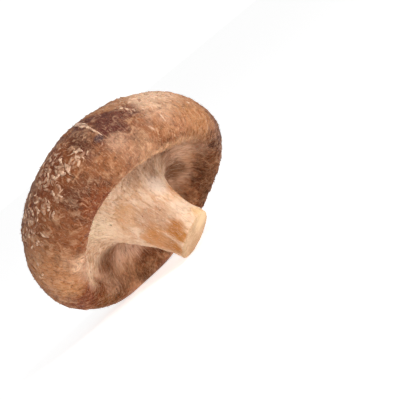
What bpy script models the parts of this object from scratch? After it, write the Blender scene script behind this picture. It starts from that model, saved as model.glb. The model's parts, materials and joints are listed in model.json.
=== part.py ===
"""A fresh shiitake mushroom, picked and laid face down on a flat surface.

The mushroom is one grown piece: a domed cap with an inrolled rim, the shallow ring-shaped
hollow under it, and the stem, which flares into the hollow and ends in a straight knife cut.

It is first made as it grew, with +Z through the crown and the opening of the cap near z = 0.
A half section is turned about Z, pushed out of round, and then laid down: it rests on a
pressed strip of the cap's rim and on the lower edge of the cut stem.
"""
import math

import bmesh
import bpy
from mathutils import Matrix, Vector

MM = 0.001
NODE = "shiitake_mushroom"

# ---- driving dimensions, millimetres in the growing position ----
CAP_RADIUS = 32.8          # at the widest ring of the cap
CAP_EQUATOR = 8.1          # height of the widest ring over the opening
DOME_RISE = 17.6           # from the widest ring up to the crown
DOME_FULLNESS = 2.4        # 2 is an ellipse, more is a fuller shoulder
LIP_RADIUS = 26.3          # where the inrolled rim faces straight down
LIP_DROP = 1.1             # how far the rim hangs below the opening
LIP_ROLL = 4.0             # how far the rim's inner side climbs again
VEIL_RADIUS = 22.8         # inner side of the rim, where the hollow starts
# (radius, height) down the hollow's roof, the flare and the stem
HOLLOW_ROOF = ((19.0, 6.6), (15.6, 7.4))
STEM_FLARE = ((12.2, 5.5), (9.9, 1.5), (8.2, -4.0))
STEM_SHAFT = ((6.9, -10.0), (6.6, -16.2))

OPENING_SHIFT = (0.7, -0.2)    # the rim's opening sits this far off the cap's axis
STEM_SHIFT = (4.2, -1.9)       # and the stem's tip this far
STEM_ROOT = 4.0                # height at which the stem starts to lean
CUT_SLOPE = (0.22, 0.17)       # slope of the knife cut along X and Y

# (waves round the cap, size, direction of the first crest in degrees)
OUTLINE_WAVES = ((2, 0.014, 90.0), (3, 0.019, 18.0), (4, 0.014, 2.0))    # share of the radius
RIM_WAVES = ((2, 1.1, 77.0),)                                            # mm up and down

REST_SIDE = 118.0          # degrees, the side of the rim that the mushroom lies on
PRESSED = 0.6              # the weight presses the rim flat by this much there
VIEW_SIDE = (90.0, 24.5)   # direction in the growing position that is turned to +Y, in degrees

SEGMENTS = 56
DOME_RINGS, LIP_RINGS, ROLL_RINGS, SPAN_RINGS = 14, 7, 4, 3


def cap_section():
    """The crown, the widest ring and the rolled rim, as (radius, height) points."""
    points = []
    for i in range(1, DOME_RINGS + 1):
        angle = 0.5 * math.pi * i / DOME_RINGS
        power = 2.0 / DOME_FULLNESS
        points.append((CAP_RADIUS * math.sin(angle) ** power,
                       CAP_EQUATOR + DOME_RISE * max(math.cos(angle), 0.0) ** power))
    for i in range(1, LIP_RINGS + 1):
        angle = 0.5 * math.pi * i / LIP_RINGS
        points.append((LIP_RADIUS + (CAP_RADIUS - LIP_RADIUS) * math.cos(angle),
                       CAP_EQUATOR - (CAP_EQUATOR + LIP_DROP) * math.sin(angle)))
    for i in range(1, ROLL_RINGS + 1):
        angle = 0.5 * math.pi * i / ROLL_RINGS
        points.append((LIP_RADIUS - (LIP_RADIUS - VEIL_RADIUS) * math.sin(angle),
                       LIP_ROLL * (1.0 - math.cos(angle)) - LIP_DROP))
    return points


def through(stations, steps):
    """A Catmull-Rom curve through the stations after the first, which is already placed."""
    ends = [tuple(2 * a - b for a, b in zip(stations[0], stations[1])),
            tuple(2 * a - b for a, b in zip(stations[-1], stations[-2]))]
    pts = [ends[0]] + list(stations) + [ends[1]]
    curve = []
    for p0, p1, p2, p3 in zip(pts, pts[1:], pts[2:], pts[3:]):
        for i in range(1, steps + 1):
            t = i / steps
            curve.append(tuple(
                0.5 * (2 * b + (c - a) * t + (2 * a - 5 * b + 4 * c - d) * t ** 2
                       + (3 * b - a - 3 * c + d) * t ** 3)
                for a, b, c, d in zip(p0, p1, p2, p3)))
    return curve


def smooth(t):
    t = min(max(t, 0.0), 1.0)
    return t * t * (3.0 - 2.0 * t)


def waves(table, angle):
    return sum(size * math.cos(count * (angle - math.radians(crest)))
               for count, size, crest in table)


def grown(radius, height, angle, on_cap):
    """Moves a point of the turned shape to where the mushroom grew it."""
    share = radius / CAP_RADIUS
    crown = CAP_EQUATOR + DOME_RISE
    low = smooth((crown - height) / crown)
    r = radius * (1.0 + on_cap * waves(OUTLINE_WAVES, angle))
    z = height + on_cap * waves(RIM_WAVES, angle) * share ** 2 * low
    point = Vector((r * math.cos(angle), r * math.sin(angle), z))
    inward = smooth((CAP_EQUATOR - height) / CAP_EQUATOR) if share > 0.7 else 1.0
    drift = Vector(OPENING_SHIFT) * inward
    if on_cap < 1.0 and height < STEM_ROOT:
        t = (STEM_ROOT - height) / (STEM_ROOT - STEM_SHAFT[-1][1])
        lean = 0.5 * (smooth(t) + t)
        drift += (Vector(STEM_SHIFT) - Vector(OPENING_SHIFT)) * lean
        point.z += t * t * (CUT_SLOPE[0] * (point.x + drift.x) + CUT_SLOPE[1] * (point.y + drift.y))
    point.x += drift.x
    point.y += drift.y
    return point * MM


def build_mushroom():
    """One closed skin: rings down the cap, through the hollow and along the stem."""
    cap = cap_section()
    inner = through([cap[-1], *HOLLOW_ROOF, *STEM_FLARE, *STEM_SHAFT], SPAN_RINGS)
    section = cap + inner
    bm = bmesh.new()
    rings = []
    for k, (radius, height) in enumerate(section):
        beyond = k - (len(cap) - 1)
        on_cap = 1.0 - smooth((beyond - 4) / 8.0) if beyond > 0 else 1.0
        rings.append([bm.verts.new(grown(radius, height, 2 * math.pi * j / SEGMENTS, on_cap))
                      for j in range(SEGMENTS)])
    crown = bm.verts.new(Vector((0, 0, CAP_EQUATOR + DOME_RISE)) * MM)
    for j in range(SEGMENTS):
        bm.faces.new((crown, rings[0][j], rings[0][j - 1]))
    for upper, lower in zip(rings, rings[1:]):
        for j in range(SEGMENTS):
            bm.faces.new((upper[j - 1], upper[j], lower[j], lower[j - 1]))
    cut = bm.faces.new(rings[-1])
    cut.normal_update()
    bmesh.ops.recalc_face_normals(bm, faces=bm.faces)
    return bm


def downwards(tilt):
    """Which way gravity pulls, in the growing position, with the crown tilted up by tilt."""
    side = math.radians(REST_SIDE)
    return Vector((math.cos(side) * math.cos(tilt), math.sin(side) * math.cos(tilt),
                   -math.sin(tilt)))


def lie_down(bm):
    """Lays the mushroom on its rim and its stem's lower edge, and presses the rim flat."""
    tip = {v for face in bm.faces if len(face.verts) > 4 for v in face.verts}
    cap = [v for v in bm.verts if v.co.z > -4 * MM]

    def reach(verts, tilt):
        return max(v.co.dot(downwards(tilt)) for v in verts)

    least, most = math.radians(30.0), math.radians(85.0)
    for _ in range(40):
        tilt = 0.5 * (least + most)
        if reach(cap, tilt) - reach(tip, tilt) > PRESSED * MM:
            least = tilt
        else:
            most = tilt
    down, surface = downwards(tilt), reach(tip, tilt)
    turn = down.rotation_difference(Vector((0, 0, -1))).to_matrix()
    around, climb = (math.radians(a) for a in VIEW_SIDE)
    ahead = turn @ Vector((math.cos(around) * math.cos(climb), math.sin(around) * math.cos(climb),
                           math.sin(climb)))
    yaw = Matrix.Rotation(math.atan2(ahead.x, ahead.y), 3, "Z")
    bmesh.ops.transform(bm, matrix=(yaw @ turn).to_4x4(), verts=bm.verts)
    for v in bm.verts:
        v.co.z = max(v.co.z + surface, 0.0)
    low = [min(v.co[i] for v in bm.verts) for i in range(2)]
    high = [max(v.co[i] for v in bm.verts) for i in range(2)]
    for v in bm.verts:
        v.co.x -= 0.5 * (low[0] + high[0])
        v.co.y -= 0.5 * (low[1] + high[1])


def skin_material():
    material = bpy.data.materials.new("shiitake_skin")
    material.use_nodes = True
    shader = material.node_tree.nodes["Principled BSDF"]
    shader.inputs["Base Color"].default_value = (0.26, 0.115, 0.055, 1.0)
    shader.inputs["Roughness"].default_value = 0.8
    shader.inputs["Metallic"].default_value = 0.0
    material.diffuse_color = (0.26, 0.115, 0.055, 1.0)
    return material


def main():
    for old in list(bpy.data.objects):
        bpy.data.objects.remove(old, do_unlink=True)
    bm = build_mushroom()
    lie_down(bm)
    mesh = bpy.data.meshes.new(NODE)
    bm.to_mesh(mesh)
    bm.free()
    mesh.materials.append(skin_material())
    mesh.shade_smooth()
    mesh.set_sharp_from_angle(angle=math.radians(50.0))
    mushroom = bpy.data.objects.new(NODE, mesh)
    bpy.context.scene.collection.objects.link(mushroom)


main()
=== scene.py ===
# %% [markdown]
# # A fresh shiitake mushroom, laid face down
# The mushroom was picked, cut through its stem and put on a white table. It rests on its
# cap's rolled rim and on the lower edge of the cut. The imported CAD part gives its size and
# its place. This lesson gives it what grows on a real one: lumpy fibrous skin, pale curled
# scales, a downy rim, a silky hollow and a stained stem.

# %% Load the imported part
import json
import math

import bpy
import numpy as np
from mathutils import Matrix, Vector
from mathutils.bvhtree import BVHTree

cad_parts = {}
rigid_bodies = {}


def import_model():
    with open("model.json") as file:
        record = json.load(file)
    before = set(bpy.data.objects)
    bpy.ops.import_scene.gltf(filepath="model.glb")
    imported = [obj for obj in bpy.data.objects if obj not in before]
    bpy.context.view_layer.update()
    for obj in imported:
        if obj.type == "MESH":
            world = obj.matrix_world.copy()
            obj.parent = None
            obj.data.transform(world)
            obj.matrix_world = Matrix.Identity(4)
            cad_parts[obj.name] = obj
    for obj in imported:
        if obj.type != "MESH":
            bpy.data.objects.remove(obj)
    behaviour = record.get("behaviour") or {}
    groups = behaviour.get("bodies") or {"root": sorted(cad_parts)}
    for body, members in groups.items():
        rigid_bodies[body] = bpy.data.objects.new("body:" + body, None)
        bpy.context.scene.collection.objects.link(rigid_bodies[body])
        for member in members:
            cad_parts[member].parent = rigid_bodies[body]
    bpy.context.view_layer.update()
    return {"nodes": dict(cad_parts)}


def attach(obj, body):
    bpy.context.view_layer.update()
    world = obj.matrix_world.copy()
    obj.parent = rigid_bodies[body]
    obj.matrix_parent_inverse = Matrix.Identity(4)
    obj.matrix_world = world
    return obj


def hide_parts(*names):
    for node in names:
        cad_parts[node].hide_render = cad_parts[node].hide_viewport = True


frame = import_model()
cad = frame["nodes"]["shiitake_mushroom"]
MM = 0.001

# %% [markdown]
# ## Two ways to say where a point is
# The mushroom lies tilted, but its patterns follow how it grew: fibres run from the crown
# down to the rim, and the stem's streaks run along the stem. So every pattern here is drawn
# in the grown position, measured in millimetres: x and y across the cap, z up through the
# crown, and zero in the middle of the cap's opening. Three axes and one point are enough to
# turn a place on the table into a grown place. They repeat how the CAD part was laid down,
# because the frame holds only the part as it lies.

# %% The growing axes inside the lying mushroom
CROWN_AXIS = Vector((-0.227, 0.479, 0.848)).normalized()
SIDE_AXIS = Vector((0.968, 0.0185, 0.249))
SIDE_AXIS = (SIDE_AXIS - CROWN_AXIS * SIDE_AXIS.dot(CROWN_AXIS)).normalized()
DEPTH_AXIS = CROWN_AXIS.cross(SIDE_AXIS)
OPENING = Vector((1.15, -3.93, 14.87)) * MM
GROWN_AXES = (SIDE_AXIS, DEPTH_AXIS, CROWN_AXIS)
print("crown axis", tuple(round(c, 3) for c in CROWN_AXIS))

# %% [markdown]
# Colours are easiest to choose and compare as six-figure screen codes. Shaders work with
# linear light instead, so one helper turns the first into the second.

# %% Colours from screen codes
def tone(code):
    """A colour from its six-figure screen code, as the linear colour that shaders use."""
    parts = [int(code[i:i + 2], 16) / 255.0 for i in (0, 2, 4)]
    linear = [c / 12.92 if c <= 0.04045 else ((c + 0.055) / 1.055) ** 2.4 for c in parts]
    return (*linear, 1.0)


print("a mid brown in linear values:", tuple(round(c, 3) for c in tone("9a6c50")))

# %% [markdown]
# ## A short hand for nodes
# A pattern that lifts the surface and also colours it has to be the same in both places, or
# the colour slides off its bump. Geometry nodes and shader nodes share their noise, maths and
# mix nodes, so one recipe can be written once and built in both kinds of tree. This small
# class keeps such a recipe readable: each call adds one node and gives back its output.

# %% The node helper
class Wires:
    """Adds nodes to one tree and wires them, so that a recipe reads like a formula."""

    def __init__(self, tree):
        self.tree = tree

    def add(self, kind, inputs=None, **settings):
        node = self.tree.nodes.new(kind)
        count = len(self.tree.nodes)
        node.location = (190 * (count % 14), -240 * (count // 14))
        for name, value in settings.items():
            setattr(node, name, value)
        for name, value in (inputs or {}).items():
            self.feed(node.inputs[name], value)
        return node

    def feed(self, socket, value):
        if isinstance(value, bpy.types.NodeSocket):
            self.tree.links.new(value, socket)
        else:
            socket.default_value = value

    def math(self, operation, *values):
        node = self.add("ShaderNodeMath", operation=operation)
        for socket, value in zip(node.inputs, values):
            self.feed(socket, value)
        return node.outputs[0]

    def vector(self, operation, a, b=None, scale=None):
        node = self.add("ShaderNodeVectorMath", operation=operation)
        self.feed(node.inputs[0], a)
        if b is not None:
            self.feed(node.inputs[1], b)
        if scale is not None:
            self.feed(node.inputs["Scale"], scale)
        return node.outputs["Value" if operation in ("DOT_PRODUCT", "LENGTH", "DISTANCE") else 0]

    def join(self, x, y, z):
        return self.add("ShaderNodeCombineXYZ", {"X": x, "Y": y, "Z": z}).outputs[0]

    def split(self, vector):
        return self.add("ShaderNodeSeparateXYZ", {"Vector": vector}).outputs

    def fade(self, value, low, high, start=0.0, end=1.0):
        """A smooth step from start to end while value goes from low to high."""
        node = self.add("ShaderNodeMapRange", {"Value": value, "From Min": low, "From Max": high,
                                               "To Min": start, "To Max": end},
                        interpolation_type="SMOOTHSTEP")
        return node.outputs["Result"]

    def toward(self, around, direction, low, high, most):
        """0 away from a direction around the cap, and up to most when close to it."""
        return self.fade(self.vector("DOT_PRODUCT", around, direction), low, high, 0.0, most)

    def mix(self, share, a, b):
        """Colour a where share is 0 and colour b where it is 1."""
        node = self.add("ShaderNodeMix", data_type="RGBA")
        for socket, value in zip((node.inputs[0], node.inputs[6], node.inputs[7]), (share, a, b)):
            self.feed(socket, value)
        return node.outputs[2]

    def blend(self, share, a, b):
        """Value a where share is 0 and value b where it is 1."""
        return self.math("ADD", a, self.math("MULTIPLY", share, self.math("SUBTRACT", b, a)))

    def sway(self, noise, reach):
        """Noise turned into a push of up to half the reach either way."""
        return self.math("MULTIPLY", self.math("SUBTRACT", noise, 0.5), reach)

    def noise(self, vector, scale, detail=2.0, rough=0.5, warp=0.0):
        node = self.add("ShaderNodeTexNoise", {"Vector": vector, "Scale": scale, "Detail": detail,
                                               "Roughness": rough, "Distortion": warp})
        return node.outputs[0]


SOCKETS = {"value": "NodeSocketFloat", "vector": "NodeSocketVector", "colour": "NodeSocketColor"}


def make_group(name, kind, takes, gives, recipe):
    """A node group: takes and gives are {socket name: sort}, recipe wires one to the other."""
    tree = bpy.data.node_groups.new(name, kind)
    for label, sort in takes.items():
        tree.interface.new_socket(label, in_out="INPUT", socket_type=SOCKETS[sort])
    for label, sort in gives.items():
        tree.interface.new_socket(label, in_out="OUTPUT", socket_type=SOCKETS[sort])
    wires = Wires(tree)
    entry, leave = wires.add("NodeGroupInput"), wires.add("NodeGroupOutput")
    made = recipe(wires, *[entry.outputs[label] for label in takes])
    for label in gives:
        wires.feed(leave.inputs[label], made[label])
    return tree


def use_group(wires, tree, inputs):
    kind = "ShaderNodeGroup" if tree.bl_idname == "ShaderNodeTree" else "GeometryNodeGroup"
    return wires.add(kind, inputs, node_tree=tree).outputs


print("a group's sockets can be:", ", ".join(SOCKETS))

# %% [markdown]
# ## The patterns
# Real shiitake skin is felted fibre. The fibres run down from the crown, so their noise is
# stretched that way: the direction around the cap counts many times, the way down counts
# little. Where the felt has torn and dried it curls into short pale squiggles. The finest of
# those are thin bands where a soft noise crosses its middle value, broken up by a second one.

# %% The place recipe: from the table to the grown position
PLACE = {"Grown": "vector", "Around": "vector", "Radius": "value", "Height": "value"}


def place_recipe(w, position):
    offset = w.vector("SUBTRACT", position, OPENING)
    x, y, z = (w.math("MULTIPLY", w.vector("DOT_PRODUCT", offset, axis), 1.0 / MM)
               for axis in GROWN_AXES)
    flat = w.join(x, y, 0.0)
    return {"Grown": w.join(x, y, z), "Around": w.vector("NORMALIZE", flat),
            "Radius": w.vector("LENGTH", flat), "Height": z}


print("a place is given as:", ", ".join(PLACE))

# %% [markdown]
# ## The zones
# The border between skin and hollow is ragged with frayed fibres, and a clean circle would
# look turned on a lathe. So the distance from the opening's middle is shifted by noise, and
# by more or less on each side, before it is cut into zones.

# %% The zone recipe: skin, stem and cut
OPENING_CENTRE = (0.7, -0.2, 0.0)     # the rim's opening is a little off the crown's axis
CUT_PLANE = (-0.22, -0.17, 1.0)       # the knife cut, as the normal of its plane
CUT_OFFSET = -16.2                    # mm along that normal
SHOULDER = (8.5, 10.5)                # mm up, where all that is higher becomes skin
ZONES = {"Skin": "value", "Stem": "value", "Cut": "value", "Over cut": "value"}


def from_opening(w, grown):
    """The distance in mm from the middle of the rim's opening, across the cap."""
    return w.vector("DISTANCE", w.vector("MULTIPLY", grown, (1, 1, 0)), OPENING_CENTRE)


def zones_recipe(w, grown, around, radius, height):
    """Where skin, hollow, stem and cut are, each from 0 to 1."""
    ragged = w.noise(w.vector("MULTIPLY", grown, (0.35, 0.35, 0.35)), 1.0, 3.0, 0.6)
    x, y, _ = w.split(around)
    strands = w.noise(w.join(w.math("MULTIPLY", x, 44.0), w.math("MULTIPLY", y, 44.0),
                             w.math("MULTIPLY", radius, 0.3)), 1.0, 2.0)
    edge = from_opening(w, grown)
    edge = w.math("ADD", edge, w.math("ADD", w.sway(ragged, 3.0), w.sway(strands, 5.0)))
    wedge = w.toward(around, (-0.80, -0.60, 0.0), 0.955, 0.995, 2.6)
    far_side = w.toward(around, (0.17, 0.98, 0.0), 0.25, 0.85, 2.6)
    near_side = w.toward(around, (-0.05, -1.0, 0.0), 0.45, 0.80, 2.6)
    edge = w.math("ADD", w.math("SUBTRACT", edge, wedge), w.math("ADD", far_side, near_side))
    skin = w.math("MAXIMUM", w.fade(edge, 22.6, 25.8), w.fade(height, *SHOULDER))
    apron = w.toward(around, (-0.60, -0.80, 0.0), 0.0, 0.7, 8.0)
    flare = w.math("SUBTRACT", w.math("ADD", radius, w.sway(ragged, 3.5)), apron)
    stem = w.math("MULTIPLY", w.fade(flare, 17.0, 11.0), w.fade(height, 11.0, 9.0))
    over_cut = w.math("SUBTRACT", w.vector("DOT_PRODUCT", grown, CUT_PLANE), CUT_OFFSET)
    cut = w.fade(over_cut, 0.75, 0.25)
    return {"Skin": skin, "Stem": stem, "Cut": cut, "Over cut": over_cut}


print("zones:", ", ".join(ZONES))

# %% [markdown]
# ## The skin
# Five patterns make the skin: two sizes of fibre, a broad mottle, cobbles where the felt has
# bunched, and thin curls. The relief adds up the coarser fibre, the cobbles, the curls and a
# broad swell.

# %% The skin recipe: fibre strokes, curls, mottling and relief
SKIN = {"Fibre": "value", "Fine": "value", "Mottle": "value", "Cobble": "value",
        "Curl": "value", "Relief": "value"}


def skin_recipe(w, grown, around, radius, height):
    """The felted skin's patterns, and its relief in mm."""
    x, y, _ = w.split(around)
    wander = w.sway(w.noise(w.vector("MULTIPLY", grown, (0.30, 0.30, 0.30)), 1.0, 2.0), 12.0)
    run = w.join(w.math("ADD", w.math("MULTIPLY", x, 70.0), wander),
                 w.math("SUBTRACT", w.math("MULTIPLY", y, 70.0), wander),
                 w.math("MULTIPLY", w.math("SUBTRACT", height, radius), 0.42))
    fibre = w.noise(run, 1.0, 3.0, 0.62)
    fine = w.noise(w.vector("MULTIPLY", run, (2.1, 2.1, 1.9)), 1.0, 2.0, 0.6)
    mottle = w.noise(grown, 0.16, 4.0, 0.55, 0.6)
    cobble = w.noise(w.vector("ADD", grown, (5.0, 81.0, 33.0)), 0.46, 2.5, 0.5, 0.9)
    squiggle = w.noise(w.vector("ADD", grown, (40.0, 3.0, 9.0)), 0.36, 1.0, 0.45, 1.2)
    band = w.fade(w.math("ABSOLUTE", w.math("SUBTRACT", squiggle, 0.5)), 0.040, 0.012)
    broken = w.fade(w.noise(w.vector("ADD", grown, (7.0, 60.0, 2.0)), 0.42, 2.0, 0.5), 0.47, 0.56)
    crowded = w.fade(w.noise(grown, 0.10, 2.0, 0.5), 0.40, 0.56)
    curl = w.math("MULTIPLY", w.math("MULTIPLY", band, broken),
                  w.math("MULTIPLY", crowded, w.fade(height, 5.5, 12.0)))
    swell = w.sway(w.noise(grown, 0.09, 2.0), 1.3)
    relief = w.math("ADD", swell, w.math("ADD", w.sway(fibre, 0.28), w.sway(cobble, 0.85)))
    relief = w.math("ADD", relief, w.math("MULTIPLY", curl, 0.2))
    return {"Fibre": fibre, "Fine": fine, "Mottle": mottle, "Cobble": cobble, "Curl": curl,
            "Relief": relief}


print("skin patterns:", ", ".join(SKIN))

# %% [markdown]
# ## The underside
# The hollow's silk runs from the rim to the stem, so its noise is stretched like the skin's.
# The stem's streaks and threads run along the stem instead, so theirs is stretched upwards.

# %% The underside recipe: silk, streaks and pits
UNDER = {"Silk": "value", "Haze": "value", "Streak": "value", "Thread": "value", "Pit": "value",
         "Swell": "value"}


def under_recipe(w, grown, around, radius, height):
    """The patterns of the hollow and the stem."""
    x, y, _ = w.split(around)
    haze = w.noise(grown, 0.22, 3.0, 0.55, 0.5)
    drift = w.sway(haze, 6.0)
    silk = w.noise(w.join(w.math("ADD", w.math("MULTIPLY", x, 62.0), drift),
                          w.math("SUBTRACT", w.math("MULTIPLY", y, 62.0), drift),
                          w.math("MULTIPLY", radius, 0.30)), 1.0, 3.0, 0.6)
    streak = w.noise(w.vector("MULTIPLY", grown, (0.75, 0.75, 0.2)), 1.0, 3.0, 0.6, 0.8)
    thread = w.noise(w.vector("MULTIPLY", grown, (3.6, 3.6, 0.6)), 1.0, 2.0, 0.6, 0.8)
    pit = w.fade(w.noise(w.vector("MULTIPLY", grown, (1.1, 1.1, 1.1)), 1.0, 1.0), 0.27, 0.20)
    swell = w.sway(w.noise(grown, 0.14, 2.0), 1.0)
    return {"Silk": silk, "Haze": haze, "Streak": streak, "Thread": thread, "Pit": pit,
            "Swell": swell}


print("underside patterns:", ", ".join(UNDER))

# %% [markdown]
# Each recipe now becomes two node groups, one for shading and one for shaping.

# %% Build the pattern groups for both kinds of tree
RECIPES = (("zones", ZONES, zones_recipe), ("skin", SKIN, skin_recipe),
           ("under", UNDER, under_recipe))
patterns = {}
for kind, word in (("ShaderNodeTree", "shade"), ("GeometryNodeTree", "shape")):
    patterns[word] = {"place": make_group(f"place_{word}", kind, {"Position": "vector"}, PLACE,
                                          place_recipe)}
    for name, gives, recipe in RECIPES:
        patterns[word][name] = make_group(f"{name}_{word}", kind, PLACE, gives, recipe)
print("pattern groups:", sorted(tree.name for tree in bpy.data.node_groups))

# %% [markdown]
# ## The body
# Cap, hollow and stem are one grown piece, so they are one mesh. A copy of the CAD solid has
# the right size, but its facets show. It is merged, smoothed with a subdivision surface, and
# remeshed to an even net of small faces, fine enough for the skin's relief.

# %% Copy, smooth and remesh the solid
def only(*objects):
    """Selects just these objects, the last one active."""
    bpy.ops.object.select_all(action="DESELECT")
    for each in objects:
        each.select_set(True)
    bpy.context.view_layer.objects.active = objects[-1]


def apply_modifier(piece, kind, **settings):
    only(piece)
    modifier = piece.modifiers.new(kind.lower(), kind)
    for name, value in settings.items():
        setattr(modifier, name, value)
    bpy.ops.object.modifier_apply(modifier=modifier.name)


NET = 0.425 * MM                      # size of the even net's faces
WELD = 0.01 * MM                      # corners closer than this are one
SHARP = math.radians(50.0)            # the knife cut's edge is sharper than this
body = bpy.data.objects.new("mushroom_body", cad.data.copy())
bpy.context.scene.collection.objects.link(body)
only(body)
bpy.ops.object.mode_set(mode="EDIT")
bpy.ops.mesh.select_all(action="SELECT")
bpy.ops.mesh.remove_doubles(threshold=WELD)
bpy.ops.mesh.select_all(action="DESELECT")
bpy.ops.mesh.edges_select_sharp(sharpness=SHARP)
bpy.ops.transform.edge_crease(value=0.4)
bpy.ops.object.mode_set(mode="OBJECT")
apply_modifier(body, "SUBSURF", levels=2, render_levels=2)
apply_modifier(body, "REMESH", mode="VOXEL", voxel_size=NET)
apply_modifier(body, "SMOOTH", factor=0.5, iterations=4)
print("body:", len(body.data.polygons), "faces")

# %% [markdown]
# The relief is added with geometry nodes, which move each vertex along its normal by what the
# pattern groups say, and then the modifier is applied. The strip that the cap lies on and the
# stem's lowest edge are kept still, so that the mushroom doesn't sink into the table.

# %% Raise the skin's relief
relief_tree = bpy.data.node_groups.new("relief", "GeometryNodeTree")
for way in ("INPUT", "OUTPUT"):
    relief_tree.interface.new_socket("Geometry", in_out=way, socket_type="NodeSocketGeometry")
w = Wires(relief_tree)
entry, leave = w.add("NodeGroupInput"), w.add("NodeGroupOutput")
position = w.add("GeometryNodeInputPosition").outputs[0]
normal = w.add("GeometryNodeInputNormal").outputs[0]
place = use_group(w, patterns["shape"]["place"], {"Position": position})
here = {label: place[label] for label in PLACE}
zones, skin, under = (use_group(w, patterns["shape"][name], here)
                      for name in ("zones", "skin", "under"))
hollow_lift = w.math("ADD", under["Swell"], w.sway(under["Silk"], 0.30))
stem_lift = w.math("ADD", under["Swell"], w.math("ADD", w.sway(under["Streak"], 0.7),
                                                 w.sway(under["Thread"], 0.25)))
stem_lift = w.math("SUBTRACT", stem_lift, w.math("MULTIPLY", under["Pit"], 0.3))
lift = w.blend(zones["Skin"], w.blend(zones["Stem"], hollow_lift, stem_lift), skin["Relief"])
lift = w.math("MULTIPLY", lift, w.fade(zones["Over cut"], 0.2, 1.5, 0.12, 1.0))
off_table = w.fade(w.split(position)[2], 0.4 * MM, 3.0 * MM)
lift = w.math("MULTIPLY", w.math("MULTIPLY", lift, off_table), MM)
move = w.add("GeometryNodeSetPosition", {"Geometry": entry.outputs[0],
                                         "Offset": w.vector("SCALE", normal, scale=lift)})
w.feed(leave.inputs[0], move.outputs[0])
only(body)
body.modifiers.new("relief", "NODES").node_group = relief_tree
bpy.ops.object.modifier_apply(modifier="relief")
for vertex in body.data.vertices:
    vertex.co.z = max(vertex.co.z, 0.0)
bpy.ops.object.shade_smooth()
print("relief applied to", len(body.data.vertices), "vertices")

# %% [markdown]
# ## The colours
# One colour group serves the whole mushroom and mixes four looks by zone: brown felted skin,
# silky mauve-tan hollow, cream stem and pale cut. The cap is not one brown. It has a dark
# bruise under a tear near the top, a tan shoulder, a warm orange lip and a pale downy wedge by
# the opening. Each is a soft patch with its own place, size and colour.
# A few patches under the cap are painted shade: in the hollow's roof, under and beside the stem's
# flare, and on the stem's middle.

# %% Patches of colour: name, grown place in mm, reach in mm, colour, strength
SKIN_PATCHES = (
    ("dark crown", (0.0, 0.0, 27.0), 19.0, "5b3020", 0.8),
    ("tan shoulder", (28.0, -15.0, 10.0), 13.0, "cca48b", 0.95),
    ("pale shoulder top", (27.0, -15.0, 12.0), 8.5, "e0c0a8", 0.85),
    ("tan right", (29.0, -10.0, 1.0), 10.0, "a67858", 0.85),
    ("lip band", (24.5, -15.0, -1.0), 5.0, "a2745a", 0.75),
    ("pale inner lip", (14.5, -23.8, -0.8), 4.5, "ba9074", 0.85),
    ("tan lip", (13.3, -28.6, 3.2), 6.5, "a07861", 0.85),
    ("brown lip", (4.0, -29.8, 0.3), 5.0, "85583f", 0.85),
    ("brown lip middle", (16.0, -26.2, 1.2), 3.6, "947059", 0.85),
    ("purple bruise", (14.0, -29.2, 11.0), 7.5, "562d26", 1.0),
    ("bruise tail", (9.5, -31.0, 14.5), 5.0, "552d22", 0.9),
    ("bruise head", (19.2, -25.8, 11.0), 5.2, "5d362e", 0.9),
    ("dark trail", (4.6, -33.2, 9.0), 5.2, "5a3022", 1.0),
    ("tear shade", (6.8, -32.3, 12.0), 4.6, "4f2a1c", 1.0),
    ("blue fleck", (9.8, -31.9, 8.8), 1.5, "4a3638", 0.85),
    ("tan under the bruise", (12.4, -30.4, 4.6), 3.0, "b08c76", 0.8),
    ("purple flank", (-6.3, -31.8, 3.2), 9.0, "553021", 0.95),
    ("tan among the scales", (-0.5, -33.4, 8.5), 5.0, "946549", 0.75),
    ("left crown", (-9.0, -30.0, 16.0), 13.5, "6e3f2c", 0.85),
    ("warm lip", (-4.0, -27.0, -0.6), 6.5, "784027", 0.95),
    ("warm lip low", (-13.0, -22.5, -0.8), 6.0, "834c30", 0.9),
    ("low flank", (-15.0, -28.0, 5.0), 8.0, "85553c", 0.75),
    ("tan heel", (-28.0, -16.0, 3.0), 12.5, "ba8867", 0.9),
    ("cream wedge", (-18.8, -16.3, -0.9), 4.8, "e6c2a6", 1.0),
    ("orange heel", (-24.8, 0.0, -1.0), 9.0, "6e2d08", 1.0),
    ("tan heel low", (-28.0, -10.5, 0.5), 4.6, "bb8a66", 0.85),
    ("low lip", (-24.0, 8.0, -1.0), 7.0, "734420", 0.9),
    ("low inner lip", (-15.3, 16.6, 1.3), 5.5, "b98c6e", 0.95),
    ("low rim shade", (-12.0, 21.3, -0.8), 4.2, "674024", 0.95),
    ("dark far lip", (20.0, 16.0, -0.5), 9.0, "66402a", 0.85),
    ("purple rim", (28.0, 6.0, 1.0), 8.5, "46241c", 0.9),
    ("rust inner rim", (23.5, 7.5, -0.6), 3.6, "6e3a1c", 0.9),
)
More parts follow.
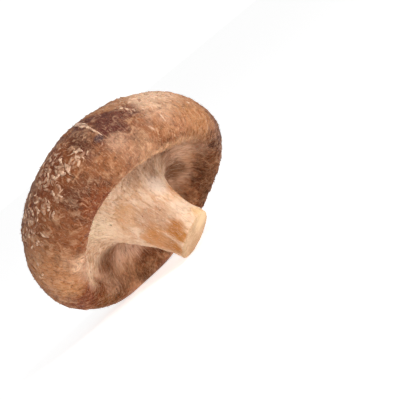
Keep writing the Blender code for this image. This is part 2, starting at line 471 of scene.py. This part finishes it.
UNDER_PATCHES = (
    ("roof brown", (15.0, -1.0, 6.3), 7.5, "8a6148", 0.9),
    ("flare cream", (-9.8, -6.7, 5.7), 6.5, "f4dcc2", 0.9),
    # painted shade in the hollow's roof, where the rim overhangs it
    ("painted roof shade", (15.2, 10.8, 6.5), 5.4, "744e35", 0.9),
    ("roof band", (21.3, 5.5, 4.6), 5.6, "d4ad94", 1.0),
    ("right wall", (20.8, 11.5, 2.6), 4.8, "b88c6e", 0.95),
    ("far wall", (13.0, 18.5, 2.5), 6.0, "7b543a", 0.9),
    ("low floor", (-17.5, 11.0, 4.0), 5.0, "946a50", 0.85),
    # painted shade in the hollow under the stem's flare
    ("painted shade under the flare", (-15.2, 8.0, 6.8), 5.0, "7a4d32", 0.95),
    ("low pale", (-12.5, 16.5, 4.6), 6.0, "d0aa94", 0.95),
    ("low rim shade", (-11.5, 21.3, -0.6), 3.2, "7a5238", 0.9),
    ("low fuzz", (-15.5, 17.0, 1.5), 6.0, "c09578", 0.9),
    ("heel white", (-20.3, -3.5, 3.6), 5.4, "f6e0c8", 1.0),
    ("orange inner heel", (-23.2, 2.6, -0.8), 5.0, "6e3208", 1.0),
    ("flare shade", (8.0, -12.0, 6.0), 5.0, "a07a60", 0.8),
    # painted shade where the stem's flare meets the hollow
    ("painted shade by the hollow", (12.5, -1.5, 5.4), 3.8, "a8846c", 0.7),
)
STEM_PATCHES = (
    ("flare cream", (-9.8, -6.7, 5.7), 6.5, "f4dcc2", 0.9),
    ("flare top cream", (9.8, -6.5, 0.0), 4.2, "f2dccb", 0.9),
    ("tan flare", (-2.6, -9.4, 0.5), 4.5, "cfa07a", 0.7),
    # painted shade on the middle of the stem, turned away from the light
    ("painted stem shade", (1.5, -8.8, -6.5), 6.8, "ae856b", 0.8),
    ("orange low side", (-3.0, -5.5, -9.0), 5.5, "c88a5a", 0.85),
    ("orange contour", (9.8, -0.5, -3.5), 4.5, "c07f50", 0.8),
    ("flare shade", (8.0, -12.0, 6.0), 5.0, "a9826a", 0.8),
    ("cut stain", (2.8, -8.2, -12.8), 3.4, "a8662f", 0.85),
    ("lower stain", (-1.5, -5.0, -13.5), 3.0, "b27544", 0.75),
    # painted shade where the stem's flare meets the hollow
    ("painted shade by the hollow", (11.2, -5.5, 5.4), 3.8, "a07c64", 0.8),
    ("white ridge", (8.0, -6.4, -9.0), 3.4, "e0c6b0", 0.8),
    ("yellow edge", (9.8, -4.5, -13.8), 3.0, "e6c296", 0.85),
    ("knife rim", (-2.0, -6.0, -15.6), 2.6, "b87842", 0.9),
    ("knife rim front", (1.8, -8.0, -15.4), 2.2, "b4743c", 0.85),
)
CUT_PATCHES = (
    ("yellow top", (9.0, -3.0, -14.7), 4.5, "e6c7a2", 0.9),
    ("stained heart", (2.0, 2.0, -15.5), 4.0, "ae8562", 0.6),
)


def patched(w, colour, grown, patches, ragged, tear):
    """Lays soft ragged patches over a colour, the later ones on top."""
    for _, centre, reach, code, strength in patches:
        gap = w.math("ADD", w.vector("DISTANCE", grown, centre), w.sway(ragged, reach * tear))
        colour = w.mix(w.fade(gap, reach * 1.2, reach * 0.35, 0.0, strength), colour, tone(code))
    return colour


print("patches:", len(SKIN_PATCHES), "skin,", len(UNDER_PATCHES), "hollow,",
      len(STEM_PATCHES), "stem,", len(CUT_PATCHES), "cut")

# %% [markdown]
# The skin starts as two browns. The patches go over them, then a pale band inside the lip on
# one side, and at last the fine patterns, which push the colour a little lighter or darker. The
# cobbles are paler on their raised tops and darker in their dips: partly the felt's own tone,
# partly painted highlight and painted shade.

# %% The skin colour group
def skin_colour_recipe(w, grown, around, radius, height):
    here = {"Grown": grown, "Around": around, "Radius": radius, "Height": height}
    skin = use_group(w, patterns["shade"]["skin"], here)
    colour = w.mix(w.fade(skin["Mottle"], 0.35, 0.68), tone("74452f"), tone("9a6c50"))
    colour = patched(w, colour, grown, SKIN_PATCHES, skin["Mottle"], 1.6)
    edge = w.math("ADD", from_opening(w, grown), w.sway(skin["Mottle"], 3.0))
    ring = w.math("MULTIPLY", w.fade(edge, 27.0, 25.2), w.fade(height, 6.0, 3.0))
    ring = w.math("MULTIPLY", ring, w.toward(around, (0.64, -0.77, 0.0), 0.72, 0.92, 0.9))
    colour = w.mix(ring, colour, tone("d2a98a"))
    light = w.mix(0.62, colour, tone("dcb79a"))
    dark = w.mix(0.60, colour, tone("341a10"))
    colour = w.mix(w.fade(skin["Mottle"], 0.54, 0.68, 0.0, 0.30), colour, light)
    colour = w.mix(w.fade(skin["Mottle"], 0.46, 0.32, 0.0, 0.36), colour, dark)
    # cobbles: paler on raised tops, darker in dips, partly own tone and partly painted highlight and
    # shade
    colour = w.mix(w.fade(skin["Cobble"], 0.54, 0.68, 0.0, 0.46), colour, light)
    colour = w.mix(w.fade(skin["Cobble"], 0.47, 0.33, 0.0, 0.48), colour, dark)
    stroke = w.fade(height, 7.0, 16.0, 1.0, 0.45)
    for name, strength in (("Fibre", 0.62), ("Fine", 0.38)):
        paler = w.fade(skin[name], 0.53, 0.72, 0.0, strength)
        darker = w.fade(skin[name], 0.47, 0.29, 0.0, strength)
        colour = w.mix(w.math("MULTIPLY", paler, stroke), colour, light)
        colour = w.mix(w.math("MULTIPLY", darker, stroke), colour, dark)
    colour = w.mix(w.math("MULTIPLY", skin["Curl"], 0.65), colour, tone("d5ac91"))
    bump = w.math("ADD", w.math("MULTIPLY", skin["Fibre"], 0.5),
                  w.math("ADD", w.math("MULTIPLY", skin["Fine"], 0.35),
                         w.math("MULTIPLY", skin["Curl"], 0.4)))
    ripe = w.add("ShaderNodeHueSaturation", {"Hue": 0.4985, "Saturation": 1.17, "Value": 1.10,
                                             "Color": colour})
    return {"Colour": ripe.outputs[0], "Bump": bump,
            "Dull": w.math("SUBTRACT", w.fade(skin["Cobble"], 0.35, 0.65, 0.50, 0.70),
                           w.fade(height, 8.0, 16.0, 0.0, 0.10))}


LOOK = {"Colour": "colour", "Bump": "value", "Dull": "value"}
skin_colour = make_group("skin_colour", "ShaderNodeTree", PLACE, LOOK, skin_colour_recipe)
print("skin colour:", len(skin_colour.nodes), "nodes")

# %% [markdown]
# Under the cap the colours are quieter. The hollow is silk over closed gills, with painted
# shade where it is deepest and under the rim and the stem's flare, and the brown down of the
# rim thins out into it. The stem is cream with warm streaks and a band of painted shade on its
# middle, and it has gone orange where the knife bruised it.

# %% The underside colour group
def under_colour_recipe(w, grown, around, radius, height, stem, cut):
    here = {"Grown": grown, "Around": around, "Radius": radius, "Height": height}
    under = use_group(w, patterns["shade"]["under"], here)
    hollow = w.mix(w.fade(under["Haze"], 0.35, 0.65), tone("a67a61"), tone("c39c84"))
    hollow = patched(w, hollow, grown, UNDER_PATCHES, under["Haze"], 1.4)
    hollow = w.mix(w.fade(under["Silk"], 0.52, 0.72, 0.0, 0.40), hollow, tone("e0c0aa"))
    hollow = w.mix(w.fade(under["Silk"], 0.48, 0.28, 0.0, 0.38), hollow, tone("68452f"))
    flesh = w.mix(w.fade(under["Streak"], 0.36, 0.64), tone("ddb697"), tone("ecd0b8"))
    flesh = patched(w, flesh, grown, STEM_PATCHES, under["Streak"], 0.6)
    flesh = w.mix(w.fade(under["Thread"], 0.54, 0.75, 0.0, 0.45), flesh, tone("f0dac6"))
    flesh = w.mix(w.fade(under["Thread"], 0.46, 0.26, 0.0, 0.45), flesh, tone("8f6a50"))
    flesh = w.mix(w.math("MULTIPLY", under["Pit"], 0.8), flesh, tone("5f4230"))
    sliced = w.mix(w.fade(under["Streak"], 0.3, 0.7), tone("b48f70"), tone("cba988"))
    sliced = patched(w, sliced, grown, CUT_PATCHES, under["Haze"], 1.0)
    sliced = w.mix(w.fade(under["Thread"], 0.40, 0.70, 0.0, 0.3), sliced, tone("dcc0a2"))
    sliced = w.mix(w.fade(under["Thread"], 0.46, 0.28, 0.0, 0.3), sliced, tone("98704f"))
    colour = w.mix(cut, w.mix(stem, hollow, flesh), sliced)
    bump = w.math("ADD", w.math("MULTIPLY", under["Silk"], 0.45),
                  w.math("MULTIPLY", under["Thread"], 0.45))
    ripe = w.add("ShaderNodeHueSaturation", {"Hue": 0.502, "Saturation": 1.08, "Value": 1.10,
                                             "Color": colour})
    return {"Colour": ripe.outputs[0], "Bump": bump,
            "Dull": w.fade(under["Haze"], 0.3, 0.7, 0.66, 0.82)}


under_colour = make_group("under_colour", "ShaderNodeTree",
                          {**PLACE, "Stem": "value", "Cut": "value"}, LOOK, under_colour_recipe)
print("underside colour:", len(under_colour.nodes), "nodes")

# %% [markdown]
# Skin and underside meet in one group, which needs only a position. The body uses it, and so
# do the fibres later on, so each fibre knows the colour of the skin below it.

# %% The whole mushroom's colour group
def mushroom_colour_recipe(w, position):
    place = use_group(w, patterns["shade"]["place"], {"Position": position})
    here = {label: place[label] for label in PLACE}
    zones = use_group(w, patterns["shade"]["zones"], here)
    top = use_group(w, skin_colour, here)
    below = use_group(w, under_colour, {**here, "Stem": zones["Stem"], "Cut": zones["Cut"]})
    return {"Colour": w.mix(zones["Skin"], below["Colour"], top["Colour"]),
            "Bump": w.blend(zones["Skin"], below["Bump"], top["Bump"]),
            "Dull": w.blend(zones["Skin"], below["Dull"], top["Dull"])}


mushroom_colour = make_group("mushroom_colour", "ShaderNodeTree", {"Position": "vector"}, LOOK,
                             mushroom_colour_recipe)
print("whole colour:", len(mushroom_colour.nodes), "nodes")

# %% [markdown]
# The body's material adds what light does there. A mushroom is moist and a little
# translucent, so some light goes into it. Its felt is dull and has a faint sheen.

# %% Build the body material
def start_material(name, roughness):
    """An empty Principled material, its wires and its shader."""
    material = bpy.data.materials.new(name)
    material.use_nodes = True
    shader = material.node_tree.nodes["Principled BSDF"]
    shader.inputs["Roughness"].default_value = roughness
    shader.inputs["Specular IOR Level"].default_value = 0.30
    return material, Wires(material.node_tree), shader


def grown_look(w):
    """The mushroom's own colour, bump and dullness at each point, and the point."""
    spot = w.add("ShaderNodeTexCoord").outputs["Object"]
    return use_group(w, mushroom_colour, {"Position": spot}), spot


def moist(shader, depth, sheen):
    """Lets light into the flesh, and gives its felt a little sheen."""
    shader.inputs["Subsurface Weight"].default_value = 0.10
    shader.inputs["Subsurface Scale"].default_value = depth
    shader.inputs["Sheen Weight"].default_value = sheen
    shader.inputs["Sheen Roughness"].default_value = 0.5


flesh_material, w, shader = start_material("felted_skin_and_flesh", 0.7)
look, _ = grown_look(w)
w.feed(shader.inputs["Base Color"], look["Colour"])
w.feed(shader.inputs["Roughness"], look["Dull"])
bump = w.add("ShaderNodeBump", {"Strength": 0.85, "Distance": 0.4 * MM, "Height": look["Bump"]})
w.feed(shader.inputs["Normal"], bump.outputs[0])
moist(shader, 1.0 * MM, 0.04)
body.data.materials.clear()
body.data.materials.append(flesh_material)
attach(body, "root")
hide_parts("shiitake_mushroom")
print("material:", flesh_material.name)

# %% [markdown]
# ## Fibres, down and scales
# The felt is more than a pattern. Loose fibres lie on the skin, down stands at the rim, silk
# lines the hollow, and torn scales curl up from the crown. A particle system could grow hair,
# but its hairs aren't meshes. Here each strand is a small closed spindle that starts on the
# body and follows the way the mushroom grew, so one function can grow all of them.

# %% Read the body's faces, and find the way it grew
only(body)
skin_tree = BVHTree.FromObject(body, bpy.context.evaluated_depsgraph_get())
face_count = len(body.data.polygons)
face_centres = np.empty(face_count * 3)
face_areas = np.empty(face_count)
body.data.polygons.foreach_get("center", face_centres)
body.data.polygons.foreach_get("area", face_areas)
face_centres = face_centres.reshape(-1, 3)
face_grown = (face_centres - np.array(OPENING)) @ np.array(GROWN_AXES).T / MM
face_radius = np.hypot(face_grown[:, 0], face_grown[:, 1])
face_height = face_grown[:, 2]
face_turn = np.degrees(np.arctan2(face_grown[:, 1], face_grown[:, 0]))
face_edge = np.hypot(face_grown[:, 0] - OPENING_CENTRE[0], face_grown[:, 1] - OPENING_CENTRE[1])


TINY = 1e-9                           # keeps a division away from zero


def unit(vectors):
    return vectors / np.maximum(np.linalg.norm(vectors, axis=1, keepdims=True), TINY)


def snap(points):
    """The nearest points on the body, and its normals there."""
    found = [skin_tree.find_nearest(Vector(point)) for point in points]
    return np.array([hit[0] for hit in found]), np.array([hit[1] for hit in found])


def flow(points, normals):
    """The way it grew: from crown to rim, from rim to stem, and down the stem."""
    around = unit(np.cross(np.array(CROWN_AXIS), points - np.array(OPENING)))
    return unit(np.cross(around, normals))


def ramp(values, low, high):
    """0 below low, 1 above high, a straight line between."""
    return np.clip((values - low) / (high - low), 0.0, 1.0)


print("faces to grow from:", face_count)

# %% [markdown]
# A strand starts on a face chosen by chance, and takes a few steps over the skin in the way
# it grew. Each step leaves a ring of points, and the rings become a spindle with closed tips.

# %% The strand grower
def grow_strands(name, seed, count, density, length, width, height, rise=(0.0, 0.0), swerve=20.0,
                 bend=20.0, rings=2, sides=3, fullness=0.6, sink=0.05):
    """Closed spindles on the body. Sizes are (low, high) in mm, angles in degrees."""
    rng = np.random.default_rng(seed)
    weight = face_areas * density
    points = face_centres[rng.choice(face_count, count, p=weight / weight.sum())]
    long, wide, high, up = (rng.uniform(*span, (count, 1)) * MM
                            for span in (length, width, height, rise))
    angle = np.radians(rng.uniform(-swerve, swerve, (count, 1)))
    turning = np.radians(rng.uniform(-bend, bend, (count, 1))) / (rings + 1)
    tint = rng.random(count)
    corners = np.arange(sides) * 2.0 * math.pi / sides + math.pi / 2.0
    rows = []
    for step in range(rings + 2):
        along = step / (rings + 1)
        spots, normals = snap(points)
        forward = flow(spots, normals)
        sideways = np.cross(normals, forward)
        heading = forward * np.cos(angle) + sideways * np.sin(angle)
        across = np.cross(normals, heading)
        centre = spots + normals * (up * along ** 1.6 - sink * MM)
        girth = math.sin(math.pi * along) ** fullness if 0 < step <= rings else 0.0
        if girth == 0.0:
            rows.append(centre[:, None, :])
        else:
            ring = [centre + across * wide * (0.5 * girth * math.cos(corner))
                    + normals * high * (0.5 * girth * math.sin(corner)) for corner in corners]
            rows.append(np.stack(ring, axis=1))
        points = spots + heading * long / (rings + 1)
        angle = angle + turning
    verts = np.concatenate(rows, axis=1)
    return make_spindles(name, verts, rings, sides, tint)


def make_spindles(name, verts, rings, sides, tint):
    """One mesh of many spindles, each with its tint stored on its points."""
    tip = 1 + rings * sides
    faces = []
    for side in range(sides):
        after = (side + 1) % sides
        faces.append((0, 1 + after, 1 + side))
        last = 1 + (rings - 1) * sides
        faces.append((tip, last + side, last + after))
        for ring in range(rings - 1):
            base = 1 + ring * sides
            faces.append((base + side, base + after, base + sides + after, base + sides + side))
    per = verts.shape[1]
    every = [tuple(corner + per * each for corner in face)
             for each in range(len(verts)) for face in faces]
    mesh = bpy.data.meshes.new(name)
    mesh.from_pydata(verts.reshape(-1, 3).tolist(), [], every)
    mesh.attributes.new("tint", "FLOAT", "POINT").data.foreach_set("value", np.repeat(tint, per))
    piece = bpy.data.objects.new(name, mesh)
    bpy.context.scene.collection.objects.link(piece)
    only(piece)
    bpy.ops.object.mode_set(mode="EDIT")
    bpy.ops.mesh.select_all(action="SELECT")
    bpy.ops.mesh.normals_make_consistent(inside=False)
    bpy.ops.object.mode_set(mode="OBJECT")
    bpy.ops.object.shade_smooth()
    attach(piece, "root")
    print(name, "has", len(verts), "strands and", len(mesh.polygons), "faces")
    return piece


# %% [markdown]
# A strand takes the colour of the skin it grows from, made lighter or darker by its own tint,
# so fibres belong to their patch and still stand apart from each other.

# %% Strand materials
def own_tint(w):
    """The tint from 0 to 1 that each strand carries."""
    return w.add("ShaderNodeAttribute", attribute_name="tint",
                 attribute_type="GEOMETRY").outputs["Fac"]


def strand_material(name, light, dark, light_share, dark_share):
    material, w, shader = start_material(name, 0.75)
    shader.inputs["Specular IOR Level"].default_value = 0.12
    look, _ = grown_look(w)
    tint = own_tint(w)
    colour = w.mix(w.fade(tint, 0.45, 1.0, 0.0, light_share), look["Colour"], tone(light))
    colour = w.mix(w.fade(tint, 0.35, 0.0, 0.0, dark_share), colour, tone(dark))
    w.feed(shader.inputs["Base Color"], colour)
    moist(shader, 0.4 * MM, 0.05)
    return material


felt = strand_material("loose_felt", "deb493", "52291a", 0.42, 0.10)
down = strand_material("rim_down", "dcb08a", "4a2815", 0.42, 0.16)
silk = strand_material("hollow_silk", "e6c8b0", "5c3b27", 0.34, 0.20)
stem_hair = strand_material("stem_hair", "f6e2d0", "8f6a4e", 0.50, 0.14)
print("strand materials:", ", ".join(each.name for each in (felt, down, silk, stem_hair)))

# %% [markdown]
# Each kind of strand has its own ground. A ground is a number from 0 to 1 for every face of
# the body: how readily that face grows the strand.

# %% Where each kind of strand grows
on_skin = np.maximum(ramp(face_edge, 25.0, 26.5), ramp(face_height, *SHOULDER))
clear = ramp(face_centres[:, 2] / MM, 0.6, 1.6)
near_lip = ramp(face_edge, 21.5, 24.0) * ramp(face_edge, 29.5, 27.0) * ramp(face_height, 5.5, 2.0)
in_hollow = ramp(face_edge, 24.0, 22.0) * ramp(face_radius, 11.0, 13.5) * ramp(face_height, 10.0, 9.0)
on_stem = ramp(face_radius, 15.0, 12.5) * ramp(face_height, 9.0, 8.0)
over_cut = face_grown @ np.array(CUT_PLANE) - CUT_OFFSET
on_stem = on_stem * ramp(over_cut, 0.8, 1.4)
smooth_crown = ramp(np.abs(face_turn + 100.0), 30.0, 50.0) + ramp(face_height, 12.0, 5.0)
felted = on_skin * clear * (0.3 + 0.7 * np.minimum(smooth_crown, 1.0)) * ramp(face_height, 24.0, 8.0)
clean_lip = 1.0 - 0.85 * ramp(np.abs(face_turn + 118.0), 75.0, 50.0)
print("share of faces in the hollow:", round(float(np.mean(in_hollow > 0.5)), 2))

# %% Grow the felt, the down, the silk and the stem's hairs
pieces = (
    (felt, grow_strands("skin_felt", 11, 7500, felted, (1.6, 4.6), (0.11, 0.22),
                        (0.08, 0.16), (0.0, 0.12), 24.0, 45.0)),
    (down, grow_strands("cap_fuzz", 12, 1000, on_skin * clear, (0.7, 1.7), (0.10, 0.17),
                        (0.08, 0.14), (0.25, 0.7), 70.0, 60.0)),
    (down, grow_strands("lip_down", 13, 4600, near_lip * clear * clean_lip, (0.8, 2.4), (0.10, 0.20),
                        (0.08, 0.16), (0.15, 0.7), 45.0, 70.0)),
    (silk, grow_strands("gill_silk", 14, 3600, in_hollow * clear, (1.8, 5.0), (0.10, 0.20),
                        (0.08, 0.16), (0.0, 0.2), 16.0, 30.0)),
    (stem_hair, grow_strands("stem_hairs", 15, 2600, on_stem * clear, (0.9, 2.6), (0.08, 0.15),
                             (0.06, 0.12), (0.02, 0.3), 32.0, 50.0)),
)
for material, piece in pieces:
    piece.data.materials.append(material)

# %% [markdown]
# ## Curled scales
# The pale scales are skin that tore as the cap grew, dried and curled. They crowd on one side
# of the crown and thin out around it. They are the same spindles, but wide, domed and strongly
# bent, so that they read as commas, hooks and blobs. Their material is paler than the skin,
# and lets some of the skin's own colour through in dapples.

# %% Scale material
def make_scale_material():
    material, w, shader = start_material("dried_scale", 0.5)
    look, spot = grown_look(w)
    tint = own_tint(w)
    dapple = w.noise(w.vector("SCALE", spot, scale=1.0 / MM), 1.1, 3.0, 0.6)
    pale = w.mix(w.fade(tint, 0.1, 0.9), tone("a87c62"), tone("e8c1a4"))
    pale = w.mix(w.fade(dapple, 0.62, 0.38, 0.0, 0.75), pale, look["Colour"])
    w.feed(shader.inputs["Base Color"], pale)
    bump = w.add("ShaderNodeBump", {"Strength": 0.4, "Distance": 0.15 * MM, "Height": dapple})
    w.feed(shader.inputs["Normal"], bump.outputs[0])
    moist(shader, 0.6 * MM, 0.03)
    return material


scale_material = make_scale_material()
print("material:", scale_material.name)

# %% [markdown]
# Real scales come in crowds with barer skin between. Small tufts are strewn over the scaly
# side, and wider clumps over the crown. Both come from seeded random numbers, so they fall in
# the same places each time. The bruise stays bare.

# %% Where the scales crowd
TUFTS = 13                            # small crowds on the scaly side
TUFT_TURNS = (-126.0, -84.0)          # degrees around the crown
TUFT_HEIGHTS = (8.5, 18.0)            # mm above the opening
SIDE_RADIUS = 34.0                    # mm from the crown's axis, where that side is widest
WIDEST_HEIGHT = 9.0                   # mm above the opening
SHOULDER_CURVE = 0.045                # how fast the side draws in from there, per mm squared
CLUMPS = 70                           # wider crowds all over the crown
CLUMP_MIDDLE = (0.0, 0.0, 2.0)        # the middle of the rounded shell that they lie on, in mm
CLUMP_SHELL = (33.0, 33.0, 20.0)      # and its reach each way


def side_place(turn, height):
    """The grown place on the cap's side at this turn and height."""
    radius = SIDE_RADIUS - SHOULDER_CURVE * (height - WIDEST_HEIGHT) ** 2
    return radius * math.cos(math.radians(turn)), radius * math.sin(math.radians(turn)), height


def crowding(places, far, near):
    """For each face, 1 close to any of the places and 0 away from them all."""
    gap = np.full(face_count, np.inf)
    for place in places:
        gap = np.minimum(gap, np.linalg.norm(face_grown - np.array(place), axis=1))
    return ramp(gap, far, near)


tuft_rng = np.random.default_rng(24)
tufts = [side_place(tuft_rng.uniform(*TUFT_TURNS), tuft_rng.uniform(*TUFT_HEIGHTS))
         for _ in range(TUFTS)]
clump_rng = np.random.default_rng(21)
clumps = np.array(CLUMP_MIDDLE) + unit(clump_rng.normal(size=(CLUMPS, 3))) * np.array(CLUMP_SHELL)
bruise = next(centre for name, centre, *_ in SKIN_PATCHES if name == "purple bruise")
unbruised = on_skin * (1.0 - crowding((bruise,), 9.0, 5.5))
scaly_side = ramp(np.abs(face_turn + 106.0), 34.0, 16.0) * ramp(face_height, 5.5, 9.5)
scaly_side = scaly_side * (0.12 + 0.88 * crowding(tufts, 3.6, 1.4))
scaly_crown = 0.34 * ramp(face_height, 6.0, 12.0) * ramp(face_radius, 9.0, 20.0)
scaly = (scaly_side + scaly_crown * crowding(clumps, 7.5, 2.5)) * unbruised
scaly_top = ramp(np.abs(face_turn + 36.0), 32.0, 18.0) * ramp(face_height, 3.0, 9.0) * unbruised
print("share of faces that grow scales:", round(float(np.mean(scaly > 0.1)), 2))

# %% Grow the curled scales
scales = [
    grow_strands("curled_scales", 22, 330, scaly, (1.2, 3.3), (0.45, 1.15), (0.28, 0.46),
                 (0.0, 0.15), 180.0, 200.0, rings=6, sides=6, fullness=0.55, sink=0.10),
    grow_strands("scale_blobs", 23, 120, scaly, (1.5, 3.0), (0.8, 1.6), (0.26, 0.46),
                 (0.0, 0.1), 180.0, 170.0, rings=5, sides=6, fullness=0.65, sink=0.12),
    grow_strands("shoulder_streaks", 24, 150, scaly_top, (1.5, 6.0), (0.35, 0.95), (0.25, 0.4),
                 (0.0, 0.1), 14.0, 40.0, rings=6, sides=6, fullness=0.8, sink=0.12),
]

# %% [markdown]
# One long tear is pale and stands out beside the bruise. Its route is six points in the
# grown position, which are moved onto the skin. A single spindle follows them, broad near the
# crown and thin at its tail.

# %% Lay the torn strip
TEAR_ROUTE = ((8.6, -25.4, 20.6), (9.3, -27.6, 18.2), (10.0, -29.4, 15.6), (10.5, -30.7, 12.8),
              (10.9, -31.4, 10.2), (11.2, -31.4, 7.6))
TEAR_WIDTHS = (0.0, 1.6, 2.0, 0.95, 0.50, 0.0)
TEAR_HEIGHT = 0.55                    # mm
TIP_DEPTH = 0.1                       # mm, how far its tips dip into the skin
RING_SIDES = 8
TEAR_TINT = 0.95                      # nearly the palest scale


def lay_tear(name):
    """A closed spindle along the tear's route, with its own width at each point."""
    axes = np.array(GROWN_AXES)
    spots, normals = snap(np.array(OPENING) + np.array(TEAR_ROUTE) @ axes * MM)
    across = unit(np.cross(normals, unit(np.gradient(spots, axis=0))))
    corners = np.arange(RING_SIDES) * 2.0 * math.pi / RING_SIDES + math.pi / 2.0
    rows = []
    for spot, normal, side, wide in zip(spots, normals, across, TEAR_WIDTHS):
        if wide == 0.0:
            rows.append((spot - normal * TIP_DEPTH * MM)[None])
        else:
            rows.append(np.array([spot + (side * 0.5 * wide * math.cos(corner)
                                          + normal * 0.5 * TEAR_HEIGHT * math.sin(corner)) * MM
                                  for corner in corners]))
    verts = np.concatenate(rows)[None]
    return make_spindles(name, verts, len(TEAR_ROUTE) - 2, RING_SIDES, np.array([TEAR_TINT]))


scales.append(lay_tear("torn_strip"))
for piece in scales:
    piece.data.materials.append(scale_material)
print("pieces in the dried skin's finish:", ", ".join(piece.name for piece in scales))

# %% [markdown]
# ## The table
# The table is plain white. A white surface that is only lit turns grey beside a white room,
# so this one also gives off a little light of its own, which keeps its shadow faint.

# %% Table
TABLE_SIZE = 8.0
TABLE_GREY = 0.80
TABLE_GLOW = 0.66
WHITE = (1.0, 1.0, 1.0, 1.0)
bpy.ops.object.select_all(action="DESELECT")
bpy.ops.mesh.primitive_plane_add(size=TABLE_SIZE, location=(0, 0, 0))
table = bpy.context.object
table.name = "table_top"
table_material, w, shader = start_material("white_table", 0.45)
shader.inputs["Base Color"].default_value = (TABLE_GREY, TABLE_GREY, TABLE_GREY, 1.0)
shader.inputs["Emission Color"].default_value = WHITE
shader.inputs["Emission Strength"].default_value = TABLE_GLOW
table.data.materials.append(table_material)
print("table:", TABLE_SIZE, "m wide, glow", TABLE_GLOW)

# %% [markdown]
# ## The camera
# The camera is low and leans to one side, which shows the mushroom as if it stood on its rim,
# with the hollow and the cut stem towards us. Three axes say how it is held: up and right in
# the picture, and back towards the camera.

# %% Camera
VIEW_UP = Vector((0.637, 0.057, 0.769)).normalized()
VIEW_BACK = Vector((0.0, -0.9973, 0.0739))
VIEW_BACK = (VIEW_BACK - VIEW_UP * VIEW_BACK.dot(VIEW_UP)).normalized()
VIEW_RIGHT = VIEW_UP.cross(VIEW_BACK)
DISTANCE = 0.5                        # metres from the mushroom
AIM_RIGHT = 0.0145                    # how far beside the opening's middle the camera looks
AIM_UP = 0.0048
LENS = 168.0
aim = OPENING + VIEW_RIGHT * AIM_RIGHT + VIEW_UP * AIM_UP
bpy.ops.object.camera_add(location=aim + VIEW_BACK * DISTANCE)
camera = bpy.context.object
camera.rotation_euler = Matrix((VIEW_RIGHT, VIEW_UP, VIEW_BACK)).transposed().to_euler()
camera.data.lens = LENS
camera.data.clip_start = 0.01
bpy.context.scene.camera = camera
print("camera at", tuple(round(c, 3) for c in camera.location), "with a lens of", LENS, "mm")

# %% [markdown]
# ## The light
# A soft key light shines from above and in front, and a weaker fill light near the camera
# opens the hollow. The white room does the rest: it lights every side a little, and the
# camera sees it brighter than it shines, so that it stays pure white in the picture.

# %% Light
KEY_AIM = VIEW_UP * 1.0 + VIEW_RIGHT * 0.25 + VIEW_BACK * 0.9
FILL_AIM = VIEW_BACK * 1.0 - VIEW_RIGHT * 0.1 + VIEW_UP * 0.15
WARM_WHITE = (1.0, 0.98, 0.95)
ROOM_LIGHT = 0.38
ROOM_SEEN = 1.1


def soft_light(name, direction, distance, size, power):
    """A round lamp in this direction from the mushroom, in metres and watts."""
    bpy.ops.object.light_add(type="AREA", location=OPENING + direction.normalized() * distance)
    lamp = bpy.context.object
    lamp.name = name
    lamp.data.shape = "DISK"
    lamp.data.size = size
    lamp.data.energy = power
    lamp.data.color = WARM_WHITE
    lamp.rotation_euler = direction.to_track_quat("Z", "Y").to_euler()
    print(name, "light:", power, "W from", distance, "m")


soft_light("key", KEY_AIM, 0.5, 0.22, 1.55)
soft_light("fill", FILL_AIM, 0.6, 0.18, 0.62)
world = bpy.data.worlds.new("white_room")
bpy.context.scene.world = world
world.use_nodes = True
w = Wires(world.node_tree)
seen = w.add("ShaderNodeLightPath").outputs["Is Camera Ray"]
room = world.node_tree.nodes["Background"]
room.inputs["Color"].default_value = WHITE
w.feed(room.inputs["Strength"], w.fade(seen, 0.0, 1.0, ROOM_LIGHT, ROOM_SEEN))
bpy.context.scene.view_settings.view_transform = "Standard"

# %% [markdown]
# ## Sizes and finish
# The fibres and scales may stand a little proud of the CAD box, but the mushroom keeps its size.

# %% Sizes and finish
bpy.context.view_layer.update()
